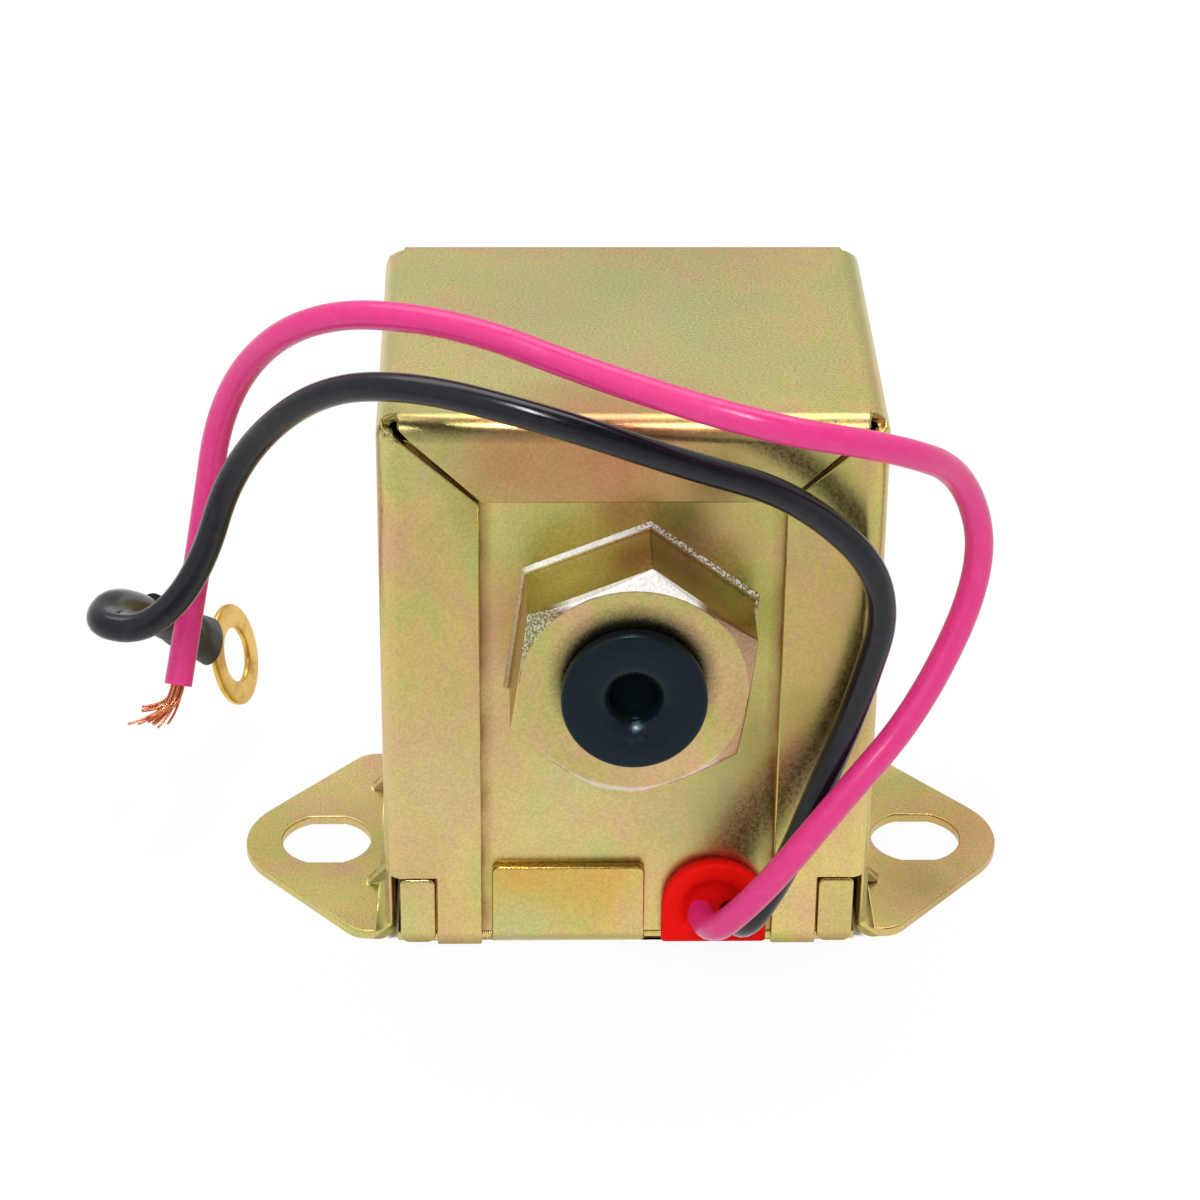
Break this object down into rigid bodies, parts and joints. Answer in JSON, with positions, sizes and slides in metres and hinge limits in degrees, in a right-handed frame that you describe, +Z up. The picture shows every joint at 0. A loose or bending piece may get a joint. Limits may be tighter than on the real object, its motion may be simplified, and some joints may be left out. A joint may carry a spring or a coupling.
{
  "type": "electric fuel pump",
  "caption": "Solid-state electric fuel pump: plated steel case with mounting ears, hex ports at both ends, solenoid plunger inside and two free leads.",
  "frame": {"origin": "on the mounting face, midway between the ends of the two port caps and between the ears", "axes": "+Z up from the mounting face, +X along the ears, +Y along the bore from outlet to inlet"},
  "size_m": [0.1069, 0.0742, 0.0798],
  "materials": {
    "yellow_zinc_steel": "satin yellow zinc plating",
    "plated_fitting": "machined, yellow zinc plated",
    "black_cap": "soft black plastic, semi-gloss",
    "red_rubber": "smooth red rubber",
    "pink_insulation": "soft pink insulation, semi-gloss",
    "black_insulation": "soft black insulation, semi-gloss",
    "copper_wire": "bare or enamelled copper",
    "heat_shrink": "matte black shrunk sleeve",
    "terminal_brass": "stamped brass",
    "tube_brass": "machined brass",
    "black_rubber": "matte rubber",
    "bare_steel": "machined steel",
    "spring_steel": "spring steel",
    "bobbin_plastic": "moulded nylon",
    "board_laminate": "glass-filled laminate",
    "component_plastic": "moulded epoxy"
  },
  "bodies": {
    "pump": {"base_plate": "yellow_zinc_steel", "bias_resistors": "component_plastic", "black_lead": "black_insulation", "board_spacers": "bobbin_plastic", "bobbin": "bobbin_plastic", "case_shell": "yellow_zinc_steel", "circuit_board": "board_laminate", "copper_strands": "copper_wire", "flyback_diode": "component_plastic", "front_end_plate": "yellow_zinc_steel", "front_pole_plate": "bare_steel", "inlet_fitting": "plated_fitting", "inlet_seal": "black_rubber", "inlet_valve_seat": "tube_brass", "inlet_valve_spring": "spring_steel", "lead_terminals": "terminal_brass", "outlet_fitting": "plated_fitting", "outlet_seal": "black_rubber", "pink_lead": "pink_insulation", "plunger_bumper": "black_rubber", "plunger_spring": "spring_steel", "power_winding": "copper_wire", "pump_tube": "tube_brass", "rear_end_plate": "yellow_zinc_steel", "rear_pole_plate": "bare_steel", "ring_terminal": "terminal_brass", "sensing_winding": "copper_wire", "switching_transistor": "component_plastic", "terminal_sleeve": "heat_shrink", "wire_grommet": "red_rubber"},
    "plunger": {"plunger": "bare_steel", "plunger_valve_spring": "spring_steel"},
    "plunger_valve": {"plunger_valve": "tube_brass"},
    "inlet_valve": {"inlet_valve": "tube_brass"},
    "outlet_port_cap": {"outlet_port_cap": "black_cap"},
    "inlet_port_cap": {"inlet_port_cap": "black_cap"}
  },
  "joints": [
    {"name": "plunger_slide", "type": "slide", "parent": "pump", "child": "plunger", "axis": [0, 1, 0], "range_m": [0, 0.006], "stiffness_N_per_m": 350, "springref_m": -0.008, "deforming": ["plunger_spring"]},
    {"name": "plunger_valve_slide", "type": "slide", "parent": "plunger", "child": "plunger_valve", "axis": [0, -1, 0], "range_m": [0, 0.0008], "stiffness_N_per_m": 100, "springref_m": -0.002, "deforming": ["plunger_valve_spring"]},
    {"name": "inlet_valve_slide", "type": "slide", "parent": "pump", "child": "inlet_valve", "axis": [0, -1, 0], "range_m": [0, 0.0008], "stiffness_N_per_m": 100, "springref_m": -0.002, "deforming": ["inlet_valve_spring"]},
    {"name": "outlet_cap_pull", "type": "slide", "parent": "pump", "child": "outlet_port_cap", "axis": [0, -1, 0], "range_m": [0, 0.06]},
    {"name": "inlet_cap_pull", "type": "slide", "parent": "pump", "child": "inlet_port_cap", "axis": [0, 1, 0], "range_m": [0, 0.06]}
  ]
}
